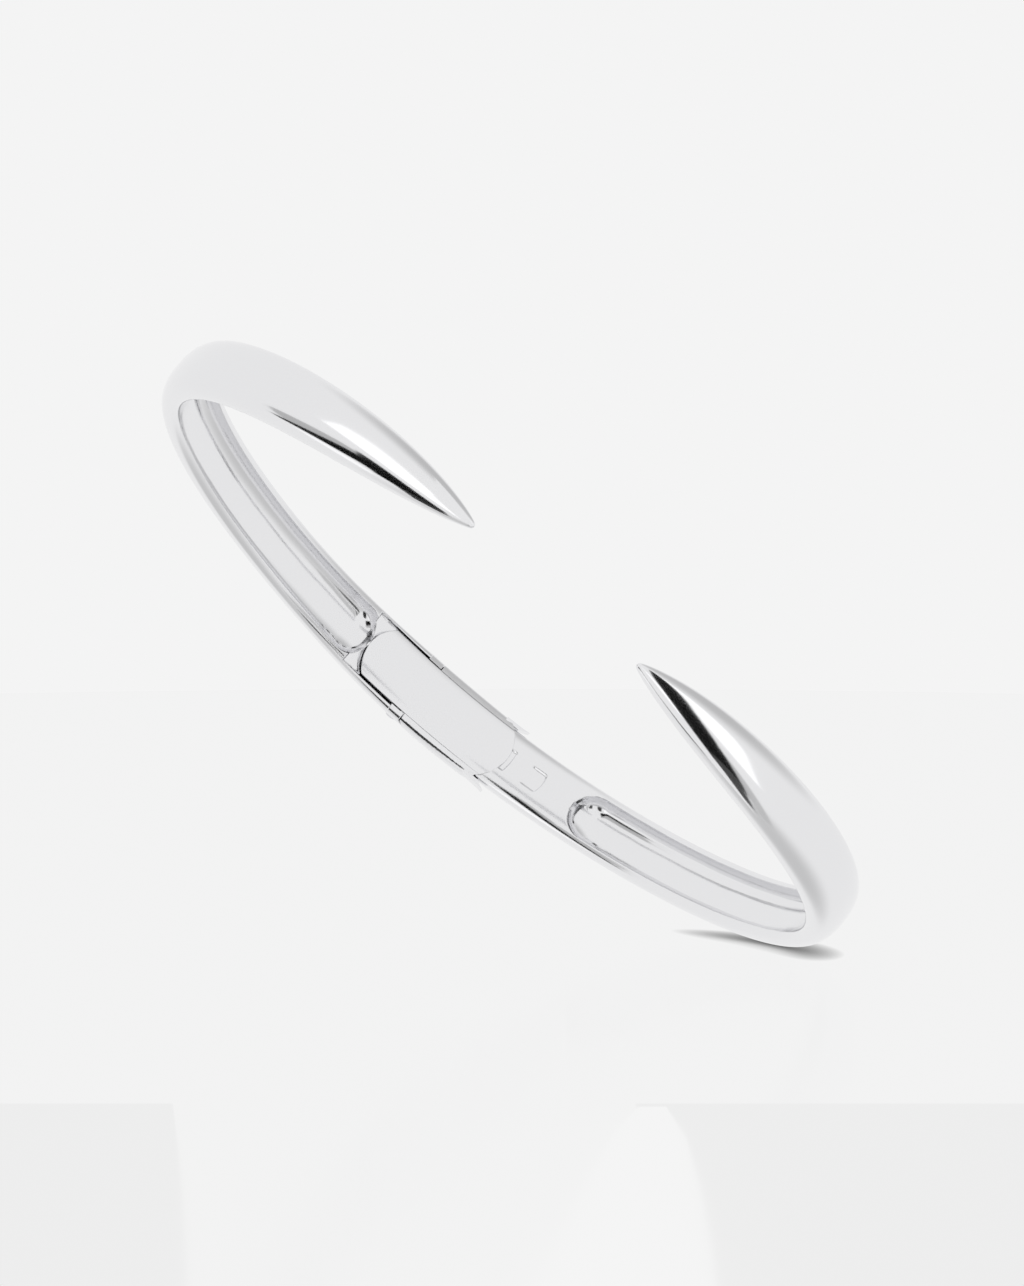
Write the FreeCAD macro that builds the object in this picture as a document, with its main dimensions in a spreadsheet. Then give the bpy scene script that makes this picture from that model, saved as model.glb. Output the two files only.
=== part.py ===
import FreeCAD, Part
import math
import os
import Sketcher

# Hinged claw cuff: an oval bangle in two halves, joined at the back of the wrist by a sprung
# hinge and ending at the front in two claws. The wrist axis is Z. The hinge is at +Y, the claws
# point to each other at -Y, the fixed half is on the -X side and the hinged half on the +X side.
# Everything is drawn round the middle of the wrist opening, at half the band's height, and each
# finished piece is then moved so that the cuff lies on Z = 0 with its box centred on the origin.

Vector = FreeCAD.Vector
doc = FreeCAD.newDocument("hinged_claw_cuff")

# ---------------------------------------------------------------- driving dimensions (mm, deg)
DIMENSIONS = [
    # inner face of the band: x = side_reach sin t - side_square sin 3t,
    # y = front_reach cos t - front_square cos 3t + back_bias cos 2t
    ("side_reach", 27.92), ("side_square", 1.10),
    ("front_reach", 21.81), ("front_square", 0.53), ("back_bias", 1.72),
    ("claw_angle", 162.9), ("taper_angle", 100.0),
    # band section
    ("side_half_width", 2.48), ("side_thickness", 2.40),
    ("hinge_half_width", 2.95), ("neck_half_width", 2.50), ("hinge_thickness", 2.60),
    ("tip_half_width", 0.16), ("tip_thickness", 0.30),
    # scooped inner channel
    ("rim_width", 0.60), ("floor_wall", 0.75), ("end_round", 4.5),
    ("fixed_channel_start", 27.5), ("hinged_channel_start", 18.0), ("channel_end", 150.0),
    # back of the band as a plain arc, for the pieces that follow it
    ("back_radius", 25.6), ("back_centre", -2.6),
    # hinge axis and knuckles
    ("pivot_side", 3.20), ("pivot_back", 24.27), ("pin_radius", 0.40), ("pin_half_length", 2.84),
    ("pin_clearance", 0.03), ("joint_gap", 0.08), ("ear_radius", 1.10), ("ear_inner", 2.33),
    ("knuckle_radius", 0.85), ("knuckle_inner", 1.02), ("knuckle_outer", 2.25),
    ("parting_side", 2.50), ("stop_angle", 37.0),
    # cam block
    ("cam_half_width", 0.94), ("nose_reach", 1.30), ("nose_top", 0.25), ("nose_bottom", 0.62),
    ("tenon_reach", 1.90), ("tenon_half", 0.40),
    # cover plate and the pocket of the hinged arm under it
    ("plate_thickness", 0.50), ("plate_half_width", 2.25), ("plate_fixed_end", -5.80),
    ("plate_free_end", 7.95), ("fixed_end_round", 3.20), ("free_end_round", 2.90),
    ("slide_gap", 0.12), ("slide_half_width", 2.45), ("slide_end", 8.60),
    # cavity of the hinge housing
    ("cavity_end", -4.40), ("cavity_mouth", 2.60), ("cavity_floor", 24.95),
    ("cavity_half_width", 1.05),
    # leaf spring, its seat and its rivet
    ("spring_half_width", 0.85), ("spring_thickness", 0.18), ("spring_bottom", 24.46),
    ("spring_tail", -4.05), ("spring_tip", 2.15), ("rivet_side", -3.60),
    ("rivet_radius", 0.28), ("rivet_hole", 0.36), ("rivet_head_radius", 0.50),
    ("rivet_head_top", 0.35),
    ("rivet_head_gap", 0.09), ("rivet_head_height", 0.20),
    ("seat_tail", -4.20), ("seat_front", -3.00), ("seat_gap", 0.02), ("seat_fall", 0.10),
    # flared side lips at the fixed end of the housing
    ("lip_root", -3.80), ("lip_tip", -5.90), ("lip_notch", -5.05), ("lip_inner", 2.55),
    ("lip_outer", 2.95), ("lip_front", 22.95), ("lip_depth", 0.85), ("lip_point", 0.50),
    ("lip_root_inset", 0.12), ("lip_point_inset", 0.06), ("lip_notch_slope", 0.30),
    ("lip_notch_inset", 0.24),
    # two blank recessed cartouches on the fixed arm
    ("mark_depth", 0.16), ("mark_bar_start", -5.50), ("mark_bar_width", 0.70),
    ("mark_bar_half", 0.92), ("mark_square_start", -7.70), ("mark_square_side", 1.40),
    ("mark_square_half", 0.84),
    # from the middle of the wrist opening to the part's own origin
    ("centre_shift", -2.85), ("rest_height", 2.95),
]

dims = doc.addObject("Spreadsheet::Sheet", "dims")
for row, (alias, value) in enumerate(DIMENSIONS, start=1):
    dims.set("A%d" % row, alias)
    dims.set("B%d" % row, str(value))
    dims.setAlias("B%d" % row, alias)
doc.recompute()


def size(alias):
    """The plain number in the sheet's cell of that name."""
    return float(dims.get(alias))


# ---------------------------------------------------------------- band: path and section
HALF_POINTS = 8           # curve points on each side of a section
INNER_SHARE = 0.35        # part of the thickness that lies on the wrist side of the widest line
INNER_POWER = 3.2         # squareness of the inner face, a flat comfort-fit dome
OUTER_POWER = 2.4         # squareness of the outer face, a full dome
CHANNEL_POWER = 2.8       # squareness of the scooped channel's floor
HINGE_SPREAD = 26.0       # degrees over which the band swells towards the hinge
CLAW_FULLNESS = 3.8       # how long the claw stays full before it runs to its point
WIDTH_TAPER = 0.85        # how bluntly the claw's width closes
THICKNESS_TAPER = 0.75    # how bluntly the claw's thickness closes


def path_point(angle):
    """Point of the inner face at mid height; angle 0 is the back, positive towards +X."""
    t = math.radians(angle)
    x = size("side_reach") * math.sin(t) - size("side_square") * math.sin(3 * t)
    y = (size("front_reach") * math.cos(t) - size("front_square") * math.cos(3 * t)
         + size("back_bias") * math.cos(2 * t))
    return Vector(x, y, 0)


def path_outward(angle):
    """Unit normal of the path, pointing away from the wrist."""
    step = 0.1
    along = path_point(angle + step) - path_point(angle - step)
    return Vector(-along.y, along.x, 0).normalize()


def claw_taper(angle, power):
    """1 along the band, falling to 0 at the claw's point."""
    run = (abs(angle) - size("taper_angle")) / (size("claw_angle") - size("taper_angle"))
    return (1 - max(run, 0) ** CLAW_FULLNESS) ** power if run < 1 else 0.0


def half_width(angle, at_hinge):
    """Half the band's height at an angle, for a band that swells to at_hinge at the back."""
    swell = (at_hinge - size("side_half_width")) * math.exp(-(angle / HINGE_SPREAD) ** 2)
    tip = size("tip_half_width")
    return tip + (size("side_half_width") + swell - tip) * claw_taper(angle, WIDTH_TAPER)


def thickness(angle):
    """The band's thickness from the inner face to the top of the outer dome."""
    swell = (size("hinge_thickness") - size("side_thickness"))
    swell = swell * math.exp(-(angle / HINGE_SPREAD) ** 2)
    tip = size("tip_thickness")
    return tip + (size("side_thickness") + swell - tip) * claw_taper(angle, THICKNESS_TAPER)


def oval_points(angle, centre, half, outer, inner=None):
    """Points round a superellipse across the band, starting at its upper widest point.

    centre is the distance of its widest line from the path. outer and inner are the reach and
    squareness of its two sides; without inner, only the points of the outer side are made.
    """
    origin = path_point(angle)
    outward = path_outward(angle)
    points = []
    for i in range(2 * HALF_POINTS if inner else HALF_POINTS + 1):
        s = math.cos(math.pi * i / HALF_POINTS)
        c = math.sin(math.pi * i / HALF_POINTS) if i % HALF_POINTS else 0
        reach, power = outer if i <= HALF_POINTS else inner
        offset = centre + math.copysign(reach * abs(c) ** (2 / power), c)
        height = math.copysign(half * abs(s) ** (2 / power), s)
        points.append(origin + outward * offset + Vector(0, 0, height))
    return points


def band_section(angle, at_hinge):
    """Closed wire of the band: a full dome outside and a flat comfort-fit dome inside."""
    depth = thickness(angle)
    centre = INNER_SHARE * depth
    points = oval_points(angle, centre, half_width(angle, at_hinge),
                         (depth - centre, OUTER_POWER), (centre, INNER_POWER))
    curve = Part.BSplineCurve()
    curve.interpolate(points, PeriodicFlag=True)
    middle = curve.parameter(points[HALF_POINTS])
    return Part.Wire([curve.toShape(curve.FirstParameter, middle),
                      curve.toShape(middle, curve.LastParameter)])


END_STEPS = [0.02, 0.15, 0.4, 0.7, 1.0]     # shares of a rounded end that get a section
CHANNEL_SPANS = 14                          # sections between the rounded ends
LEAST_HALF_WIDTH = 0.3                      # of the scoop where the claw gets narrow
RIM_OVERRUN = 0.8                           # how far the scoop's sides run out past the rims


def channel_section(angle, depth, half, above):
    """Closed wire of the scoop: a round floor and straight sides that run out past the rims."""
    points = oval_points(angle, 0, half, (depth, CHANNEL_POWER))
    floor = Part.BSplineCurve()
    floor.interpolate(points)
    lift = path_outward(angle) * -above
    corners = [points[-1], points[-1] + lift, points[0] + lift, points[0]]
    sides = [Part.LineSegment(corners[i], corners[i + 1]).toShape() for i in range(3)]
    return Part.Wire([floor.toShape()] + sides)


def band_blank(name, angles, at_hinge):
    """Plain length of band, lofted through sections at the given angles."""
    blank = doc.addObject("Part::Feature", name)
    blank.Shape = Part.makeLoft([band_section(a, at_hinge) for a in angles], True, False)
    return blank


def channel_cutter(name, side, start, at_hinge):
    """Scoop along the inner face, with rounded ends, that leaves a rim on both sides."""
    stop = size("channel_end")
    round_end = size("end_round")
    angles = [start + round_end * s for s in END_STEPS]
    first, last = angles[-1], stop - round_end
    angles += [first + (last - first) * i / CHANNEL_SPANS for i in range(1, CHANNEL_SPANS + 1)]
    angles += [stop - round_end * s for s in reversed(END_STEPS[:-1])]
    wires = []
    for angle in angles:
        edge = min(angle - start, stop - angle) / round_end
        grow = math.sqrt(1 - (1 - min(edge, 1)) ** 2)
        depth = (thickness(angle) - size("floor_wall")) * grow
        half = max(half_width(angle, at_hinge) - size("rim_width"), LEAST_HALF_WIDTH) * grow
        wires.append(channel_section(side * angle, depth, half, RIM_OVERRUN * grow))
    cutter = doc.addObject("Part::Feature", name)
    cutter.Shape = Part.makeLoft(wires, True, False)
    return cutter


# ---------------------------------------------------------------- small makers
def bind(item, **expressions):
    """Binds properties to the sheet; a double underscore in a name stands for a dot."""
    for name, expression in expressions.items():
        item.setExpression(name.replace("__", "."), expression)
    return item


def box(name, low, high):
    """Block between two corners, given as expressions for x, y and z."""
    item = doc.addObject("Part::Box", name)
    bind(item, Placement__Base__x=low[0], Placement__Base__y=low[1], Placement__Base__z=low[2],
         Length="(%s) - (%s)" % (high[0], low[0]), Width="(%s) - (%s)" % (high[1], low[1]),
         Height="(%s) - (%s)" % (high[2], low[2]))
    return item


def upright(name, x, y, radius, low, high):
    """Cylinder along Z between two heights, all given as expressions."""
    item = doc.addObject("Part::Cylinder", name)
    return bind(item, Placement__Base__x=x, Placement__Base__y=y, Placement__Base__z=low,
                Radius=radius, Height="(%s) - (%s)" % (high, low))


def fuse(name, *shapes):
    item = doc.addObject("Part::MultiFuse", name)
    item.Shapes = list(shapes)
    return item


def common(name, base, tool):
    item = doc.addObject("Part::Common", name)
    item.Base, item.Tool = base, tool
    return item


def cut(name, base, tool):
    item = doc.addObject("Part::Cut", name)
    item.Base, item.Tool = base, tool
    return item


def body_sketch(body, plane, name):
    """Sketch on one of the body's own origin planes."""
    sketch = body.newObject("Sketcher::SketchObject", name)
    support = [f for f in body.Origin.OriginFeatures if f.Role == plane][0]
    sketch.AttachmentSupport = [(support, "")]
    sketch.MapMode = "FlatFace"
    return sketch


def pin_point(sketch, geometry, vertex, x, y):
    """Fixes a sketch point by two distances from the origin, each bound to an expression."""
    for kind, expression in (("DistanceX", x), ("DistanceY", y)):
        value = float(doc.dims.evalExpression(expression.replace("dims.", "")))
        index = sketch.addConstraint(Sketcher.Constraint(kind, -1, 1, geometry, vertex, value))
        sketch.setExpression("Constraints[%d]" % index, expression)


def polygon(sketch, corners):
    """Closed outline of straight sides through corners given as expression pairs."""
    place = [Vector(*[float(doc.dims.evalExpression(e.replace("dims.", ""))) for e in c], 0)
             for c in corners]
    count = len(corners)
    for i in range(count):
        sketch.addGeometry(Part.LineSegment(place[i], place[(i + 1) % count]), False)
    for i in range(count):
        sketch.addConstraint(Sketcher.Constraint("Coincident", i, 2, (i + 1) % count, 1))
    for i, (x, y) in enumerate(corners):
        pin_point(sketch, i, 1, x, y)


def circle(sketch, x, y, radius):
    """Circle with its centre and radius bound to expressions."""
    value = float(doc.dims.evalExpression(radius.replace("dims.", "")))
    index = sketch.addGeometry(Part.Circle(Vector(0, 0, 0), Vector(0, 0, 1), value), False)
    ring = sketch.addConstraint(Sketcher.Constraint("Radius", index, value))
    sketch.setExpression("Constraints[%d]" % ring, radius)
    pin_point(sketch, index, 3, x, y)


def pad(body, sketch, name, length, middle=True):
    item = body.newObject("PartDesign::Pad", name)
    item.Profile = sketch
    item.Midplane = middle
    item.setExpression("Length", length)
    return item


def new_body(name):
    body = doc.addObject("PartDesign::Body", name)
    body.Label = name
    return body


# ---------------------------------------------------------------- blanks and shared tools
FIXED, HINGED = -1, 1
ARM_STATIONS = [0, 6, 12, 19, 27, 36, 46, 57, 69, 81, 93, 105, 116, 126, 135, 143, 150, 156,
                160, 162.2, 162.9]
fixed_blank = band_blank("fixed_blank", [-a for a in ARM_STATIONS], size("neck_half_width"))
hinged_blank = band_blank("hinged_blank", [-12, -6] + ARM_STATIONS, size("hinge_half_width"))
hinge_blank = band_blank("hinge_blank", [-16, -9, -2, 5, 12, 19, 23], size("hinge_half_width"))
fixed_channel = channel_cutter("fixed_channel", FIXED, size("fixed_channel_start"),
                               size("neck_half_width"))
hinged_channel = channel_cutter("hinged_channel", HINGED, size("hinged_channel_start"),
                                size("hinge_half_width"))

FAR = "10"            # past the band's height and past the hinge's length
OVERLAP = "1"         # by which a tool runs on into what another tool takes away
INSIDE = "10"         # in front of the band's back, for tools along Y
OUTSIDE = "40"        # behind the band's back
OPEN_FRONT = "20"     # in front of the hinge's own spaces
PIVOT = ("dims.pivot_side", "dims.pivot_back")


def back_arc(name, radius, half):
    """Round tool about the back's own centre: everything on the wrist side of a radius."""
    return upright(name, "0", "dims.back_centre", radius, "-%s" % half, half)


def end_cylinder(name, radius, side):
    """Round tool along Y whose edge bounds the rounded end of a plate."""
    item = doc.addObject("Part::Cylinder", name)
    item.Placement.Rotation = FreeCAD.Rotation(Vector(1, 0, 0), -90)
    return bind(item, Radius=radius, Height="%s - %s" % (OUTSIDE, INSIDE),
                Placement__Base__x=side, Placement__Base__y=INSIDE)


def band_slab(name, low, high, half):
    """Block through the band's whole thickness between two x positions."""
    return box(name, (low, INSIDE, "-(%s)" % half), (high, OUTSIDE, half))


# ---------------------------------------------------------------- cover plate (fixed half)
FIXED_ROUND = "dims.plate_fixed_end + dims.fixed_end_round"
FREE_ROUND = "dims.plate_free_end - dims.free_end_round"

plate_outline = fuse(
    "plate_outline",
    end_cylinder("plate_fixed_round", "dims.fixed_end_round", FIXED_ROUND),
    end_cylinder("plate_free_round", "dims.free_end_round", FREE_ROUND),
    band_slab("plate_middle", FIXED_ROUND, FREE_ROUND, FAR))
plate_strip = common(
    "plate_strip", plate_outline,
    band_slab("plate_width", "-" + FAR, FAR, "dims.plate_half_width"))
plate_layer = common(
    "plate_layer", plate_strip,
    back_arc("plate_underside", "dims.back_radius + dims.plate_thickness", FAR))
cover_plate = common("hinge_cover_plate", hinge_blank, plate_layer)

# ---------------------------------------------------------------- hinge housing (fixed half)
housing_length = fuse(
    "housing_length",
    end_cylinder("housing_round", "dims.fixed_end_round", FIXED_ROUND),
    band_slab("housing_middle", FIXED_ROUND, "dims.pivot_side + " + OVERLAP, FAR))
housing_raw = common("housing_raw", hinge_blank, housing_length)

lips = []
for word, turn in (("upper", 1), ("lower", -1)):
    lip = new_body(word + "_lip")
    outline = body_sketch(lip, "XZ_Plane", word + "_lip_outline")
    polygon(outline, [
        ("dims.lip_root", "%d * dims.lip_inner" % turn),
        ("dims.lip_root", "%d * (dims.lip_outer - dims.lip_root_inset)" % turn),
        ("dims.lip_tip + dims.lip_point",
         "%d * (dims.lip_outer - dims.lip_point_inset)" % turn),
        ("dims.lip_tip", "%d * dims.lip_outer" % turn),
        ("dims.lip_notch - dims.lip_notch_slope",
         "%d * (dims.lip_outer - dims.lip_notch_inset)" % turn),
        ("dims.lip_notch", "%d * dims.lip_inner" % turn)])
    pad(lip, outline, word + "_lip_pad", "dims.lip_depth")
    lip.setExpression("Placement.Base.y", "dims.lip_front + dims.lip_depth / 2")
    lips.append(lip)
housing_with_lips = fuse("housing_with_lips", housing_raw, *lips)

plate_seat = common(
    "plate_seat",
    band_slab("seat_width", "-" + FAR, FAR, "dims.plate_half_width"),
    back_arc("seat_floor", "dims.back_radius + dims.plate_thickness", FAR))
cavity = box("cavity", ("dims.cavity_end", OPEN_FRONT, "-dims.cavity_half_width"),
             ("dims.cavity_mouth", "dims.cavity_floor", "dims.cavity_half_width"))
ear_rooms = []
for word, low, high in (("upper", "dims.ear_inner - dims.joint_gap", FAR),
                        ("lower", "-" + FAR, "-dims.ear_inner + dims.joint_gap")):
    ear_rooms.append(upright(word + "_ear_room", *PIVOT, "dims.ear_radius + dims.joint_gap",
                             low, high))
    ear_rooms.append(box(word + "_ear_side",
                         ("dims.parting_side - dims.joint_gap", OPEN_FRONT, low),
                         (FAR, "dims.pivot_back", high)))
cam_room = upright("cam_room", *PIVOT, "dims.knuckle_radius + dims.joint_gap",
                   "-dims.knuckle_inner", "dims.knuckle_inner")
knuckle_room = upright("knuckle_room", *PIVOT, "dims.knuckle_radius",
                       "-dims.ear_inner", "dims.ear_inner")
arm_side = band_slab("arm_side", "dims.pivot_side - dims.joint_gap", FAR, FAR)
# the outer joint faces part along a radius of the hinge, where the open arm comes to rest
open_sweep = box("open_sweep", PIVOT + ("-" + FAR,),
                 ("dims.pivot_side + " + FAR, "dims.pivot_back + " + FAR, FAR))
open_sweep.setExpression("Placement.Rotation.Angle", "dims.stop_angle")
housing_cuts = fuse("housing_cuts", plate_seat, cavity, *ear_rooms, cam_room, knuckle_room,
                    arm_side, open_sweep)
housing = cut("hinge_housing", housing_with_lips, housing_cuts)

# ---------------------------------------------------------------- fixed arm
marks = fuse(
    "marks",
    band_slab("mark_bar", "dims.mark_bar_start - dims.mark_bar_width",
              "dims.mark_bar_start + " + OVERLAP, "dims.mark_bar_half"),
    band_slab("mark_square", "dims.mark_square_start - dims.mark_square_side",
              "dims.mark_square_start", "dims.mark_square_half"))
mark_recess = common(
    "mark_recess", marks,
    back_arc("mark_floor", "dims.back_radius + dims.mark_depth", FAR))
fixed_cuts = fuse(
    "fixed_cuts", mark_recess,
    end_cylinder("fixed_end_round_tool", "dims.fixed_end_round", FIXED_ROUND),
    band_slab("fixed_end_side", FIXED_ROUND, FAR, FAR))
fixed_arm = cut("fixed_claw_arm", cut("fixed_scooped", fixed_blank, fixed_channel), fixed_cuts)

# ---------------------------------------------------------------- hinged arm
arm_ears = []
for word, low, high in (("upper", "dims.ear_inner", FAR),
                        ("lower", "-" + FAR, "-dims.ear_inner")):
    arm_ears.append(upright(word + "_ear_round", *PIVOT, "dims.ear_radius", low, high))
    arm_ears.append(box(word + "_ear_flat", ("dims.parting_side", OPEN_FRONT, low),
                        ("dims.pivot_side + " + OVERLAP, "dims.pivot_back", high)))
hinge_end = cut("hinge_end", band_slab("hinge_end_slab", "-" + FAR, "dims.pivot_side", FAR),
                fuse("arm_ear_tools", *arm_ears))
arm_scooped = cut("arm_scooped", hinged_blank, hinged_channel)
arm_ended = cut("arm_ended", arm_scooped, hinge_end)
slide_pocket = common(
    "slide_pocket",
    band_slab("slide_width", "0", "dims.slide_end", "dims.slide_half_width"),
    back_arc("slide_floor", "dims.back_radius + dims.plate_thickness + dims.slide_gap", FAR))
knuckle_clear = upright("knuckle_clear", *PIVOT, "dims.knuckle_radius + dims.joint_gap",
                        "-dims.ear_inner", "dims.ear_inner")
tenon_slot = box(
    "tenon_slot",
    ("dims.pivot_side", "dims.pivot_back - dims.tenon_half", "-dims.cam_half_width"),
    ("dims.pivot_side + dims.tenon_reach", "dims.pivot_back + dims.tenon_half",
     "dims.cam_half_width"))
pin_hole = upright("pin_hole", *PIVOT, "dims.pin_radius + dims.pin_clearance", "-" + FAR, FAR)
hinged_arm = cut("hinged_claw_arm", arm_ended,
                 fuse("hinged_cuts", slide_pocket, knuckle_clear, tenon_slot, pin_hole))

# ---------------------------------------------------------------- pin and fixed knuckles
pin = new_body("hinge_pin")
pin_section = body_sketch(pin, "XY_Plane", "pin_section")
circle(pin_section, *PIVOT, "dims.pin_radius")
pad(pin, pin_section, "pin_pad", "2 * dims.pin_half_length")

knuckles = []
for word, turn in (("upper", 1), ("lower", -1)):
    knuckle = new_body(word + "_knuckle_tube")
    ring = body_sketch(knuckle, "XY_Plane", word + "_knuckle_ring")
    circle(ring, *PIVOT, "dims.knuckle_radius")
    circle(ring, *PIVOT, "dims.pin_radius")
    pad(knuckle, ring, word + "_knuckle_pad", "dims.knuckle_outer - dims.knuckle_inner")
    knuckle.setExpression("Placement.Base.z",
                          "%d * (dims.knuckle_outer + dims.knuckle_inner) / 2" % turn)
    knuckles.append(knuckle)

# ---------------------------------------------------------------- cam block (hinged half)
cam_boss = upright("cam_boss", *PIVOT, "dims.knuckle_radius",
                   "-dims.cam_half_width", "dims.cam_half_width")
cam_nose = box("cam_nose",
               ("dims.pivot_side - dims.nose_reach", "dims.pivot_back + dims.nose_top",
                "-dims.cam_half_width"),
               ("dims.pivot_side", "dims.pivot_back + dims.nose_bottom", "dims.cam_half_width"))
cam_tenon = box(
    "cam_tenon",
    ("dims.pivot_side", "dims.pivot_back - dims.tenon_half", "-dims.cam_half_width"),
    ("dims.pivot_side + dims.tenon_reach", "dims.pivot_back + dims.tenon_half",
     "dims.cam_half_width"))
cam_hole = upright("cam_hole", *PIVOT, "dims.pin_radius + dims.pin_clearance", "-" + FAR, FAR)
cam_block = cut("cam_block", fuse("cam_raw", cam_boss, cam_nose, cam_tenon), cam_hole)

# ---------------------------------------------------------------- leaf spring, seat and rivet
spring = new_body("leaf_spring")
leaf_outline = body_sketch(spring, "XY_Plane", "leaf_outline")
polygon(leaf_outline, [
    ("dims.spring_tail", "dims.spring_bottom"),
    ("dims.spring_tip", "dims.spring_bottom"),
    ("dims.spring_tip", "dims.spring_bottom - dims.spring_thickness"),
    ("dims.spring_tail", "dims.spring_bottom - dims.spring_thickness")])
pad(spring, leaf_outline, "leaf_pad", "2 * dims.spring_half_width")
doc.recompute()
leaf_hole = body_sketch(spring, "XZ_Plane", "leaf_hole")
circle(leaf_hole, "dims.rivet_side", "0", "dims.rivet_hole")
leaf_pocket = spring.newObject("PartDesign::Pocket", "leaf_pocket")
leaf_pocket.Profile = leaf_hole
leaf_pocket.Midplane = True
leaf_pocket.setExpression("Length", "4 * dims.pivot_back")
doc.recompute()

seat = new_body("spring_seat")
seat_outline = body_sketch(seat, "XY_Plane", "seat_outline")
polygon(seat_outline, [
    ("dims.seat_front", "dims.cavity_floor"),
    ("dims.seat_front", "dims.spring_bottom + dims.seat_gap"),
    ("dims.rivet_side", "dims.spring_bottom + dims.seat_gap"),
    ("dims.seat_tail", "dims.spring_bottom + dims.seat_gap + dims.seat_fall"),
    ("dims.seat_tail", "dims.cavity_floor")])
pad(seat, seat_outline, "seat_pad", "2 * dims.spring_half_width")

rivet = new_body("spring_rivet")
rivet_profile = body_sketch(rivet, "XY_Plane", "rivet_profile")
FULL_TURN = 360
HEAD_UNDER = "dims.spring_bottom - dims.spring_thickness - dims.rivet_head_gap"
polygon(rivet_profile, [
    ("0", "dims.spring_bottom + dims.seat_gap"),
    ("dims.rivet_radius", "dims.spring_bottom + dims.seat_gap"),
    ("dims.rivet_radius", HEAD_UNDER),
    ("dims.rivet_head_radius", HEAD_UNDER),
    ("dims.rivet_head_top", HEAD_UNDER + " - dims.rivet_head_height"),
    ("0", HEAD_UNDER + " - dims.rivet_head_height")])
rivet_turned = rivet.newObject("PartDesign::Revolution", "rivet_turned")
rivet_turned.Profile = rivet_profile
rivet_turned.ReferenceAxis = (rivet_profile, ["V_Axis"])
rivet_turned.Angle = FULL_TURN
rivet.setExpression("Placement.Base.x", "dims.rivet_side")
doc.recompute()

# ---------------------------------------------------------------- placing, checking, writing
NODES = [fixed_arm, housing, cover_plate, pin, *knuckles, seat, rivet, spring, cam_block,
         hinged_arm]

for node in NODES:
    height = "%s + dims.rest_height" % node.Placement.Base.z
    for axis, expression in node.ExpressionEngine:
        if axis.endswith("Base.z"):
            height = expression + " + dims.rest_height"
    back = "%s + dims.centre_shift" % node.Placement.Base.y
    bind(node, Placement__Base__y=back, Placement__Base__z=height)
    node.Label = node.Name
doc.recompute()

failed = [item.Name for item in doc.Objects if {"Invalid", "Error"} & set(item.State)]
if failed:
    raise RuntimeError("failed objects: " + ", ".join(failed))
for node in NODES:
    if node.Shape.isNull() or not node.Shape.isValid():
        raise RuntimeError("bad shape: " + node.Label)

os.makedirs("parts", exist_ok=True)
for node in NODES:
    node.Shape.exportStep(os.path.join("parts", node.Label + ".step"))
    bounds = node.Shape.BoundBox
    print("%-20s solids %d volume %8.2f mm3  x %6.2f %6.2f  y %6.2f %6.2f  z %5.2f %5.2f" % (
        node.Label, len(node.Shape.Solids), node.Shape.Volume, bounds.XMin, bounds.XMax,
        bounds.YMin, bounds.YMax, bounds.ZMin, bounds.ZMax))
print("hinge axis", size("pivot_side"), size("pivot_back") + size("centre_shift"))
print("spring axis", size("rivet_side"), size("spring_bottom") - size("spring_thickness") / 2
      + size("centre_shift"), "mid height", size("rest_height"))
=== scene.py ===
import math
import bpy
import numpy as np
from mathutils import Matrix, Vector


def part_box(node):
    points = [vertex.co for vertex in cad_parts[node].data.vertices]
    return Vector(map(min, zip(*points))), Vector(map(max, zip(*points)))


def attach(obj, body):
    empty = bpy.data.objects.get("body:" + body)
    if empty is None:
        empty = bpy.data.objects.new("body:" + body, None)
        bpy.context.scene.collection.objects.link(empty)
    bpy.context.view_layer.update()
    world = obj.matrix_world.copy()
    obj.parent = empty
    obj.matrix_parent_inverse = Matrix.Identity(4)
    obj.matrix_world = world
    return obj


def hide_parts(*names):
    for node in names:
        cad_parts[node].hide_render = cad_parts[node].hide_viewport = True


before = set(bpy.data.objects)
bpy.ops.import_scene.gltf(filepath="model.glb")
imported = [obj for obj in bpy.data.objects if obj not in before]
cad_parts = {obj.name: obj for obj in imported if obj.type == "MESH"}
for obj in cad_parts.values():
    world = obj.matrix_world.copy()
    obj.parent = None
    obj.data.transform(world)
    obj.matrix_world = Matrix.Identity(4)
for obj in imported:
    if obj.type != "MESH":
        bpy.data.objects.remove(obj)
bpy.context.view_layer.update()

bl_info = {
    "name": "Hinged claw cuff",
    "version": (1, 0, 0),
    "blender": (4, 5, 0),
    "location": "3D View > Sidebar > Claw Cuff",
    "description": "Builds a polished silver cuff with two claws round its packed frame",
    "category": "Object",
}

FIXED, HINGED = -1, 1
MM = 0.001
BAND_LOW, BAND_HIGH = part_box("hinged_claw_arm")
MID_HEIGHT = (BAND_LOW.z + BAND_HIGH.z) / 2
PIN_LOW, PIN_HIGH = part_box("hinge_pin")
PIVOT = (PIN_LOW + PIN_HIGH) / 2


def length(name, description, millimetres):
    """A distance that a user may change, given in millimetres."""
    return bpy.props.FloatProperty(name=name, description=description,
                                   default=millimetres * MM, precision=5, unit="LENGTH")


def angle(name, description, degrees):
    """An angle that a user may change, given in degrees."""
    return bpy.props.FloatProperty(name=name, description=description,
                                   default=math.radians(degrees), subtype="ANGLE")


def share(name, description, value):
    """A plain number that a user may change."""
    return bpy.props.FloatProperty(name=name, description=description, default=value,
                                   precision=3)


def colour(name, description, value):
    """A colour that a user may change."""
    return bpy.props.FloatVectorProperty(name=name, description=description, default=value,
                                         subtype="COLOR", size=3, min=0, max=1)


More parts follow.
